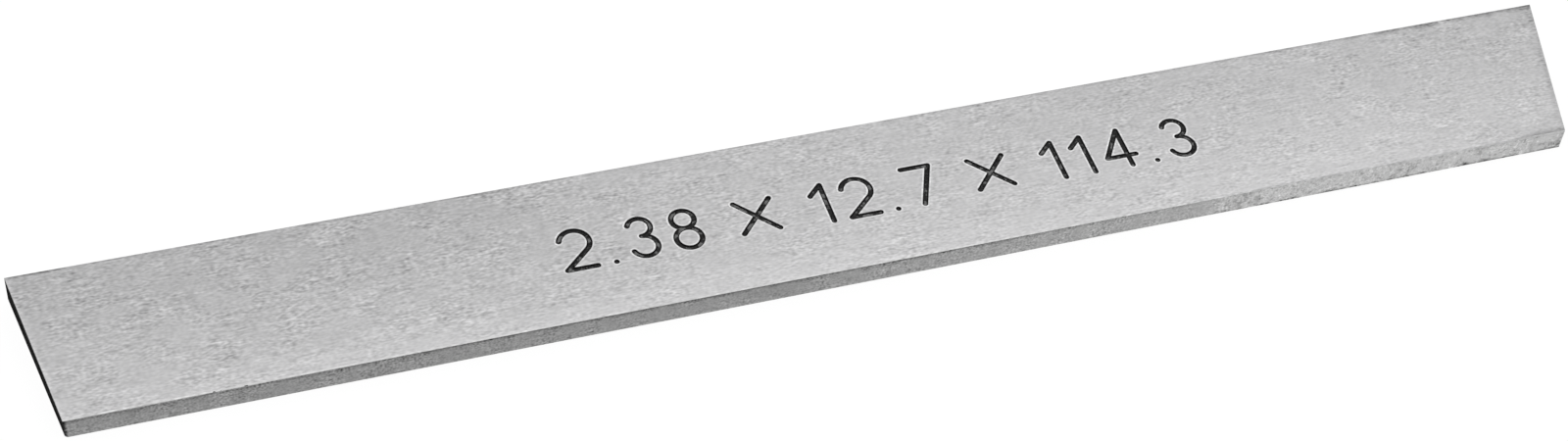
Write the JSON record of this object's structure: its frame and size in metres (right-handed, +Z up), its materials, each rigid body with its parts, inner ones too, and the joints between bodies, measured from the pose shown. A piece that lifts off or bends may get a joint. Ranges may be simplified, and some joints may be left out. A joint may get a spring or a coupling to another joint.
{
  "type": "parting blade",
  "caption": "Flat bar of ground tool steel with a wedge section and slanted ends, held in a lathe's blade holder to cut work off.",
  "frame": {"origin": "middle of the blade's box, on the plane of the flank that it lies on", "axes": "+X along the length, +Y from the thin edge to the thick edge that carries the cutting edges, +Z up through the thickness"},
  "size_m": [0.1144, 0.0128, 0.0024],
  "materials": {
    "ground_steel": "surface ground lengthways, satin grey"
  },
  "bodies": {
    "root": {"parting_blade": "ground_steel"}
  },
  "joints": []
}
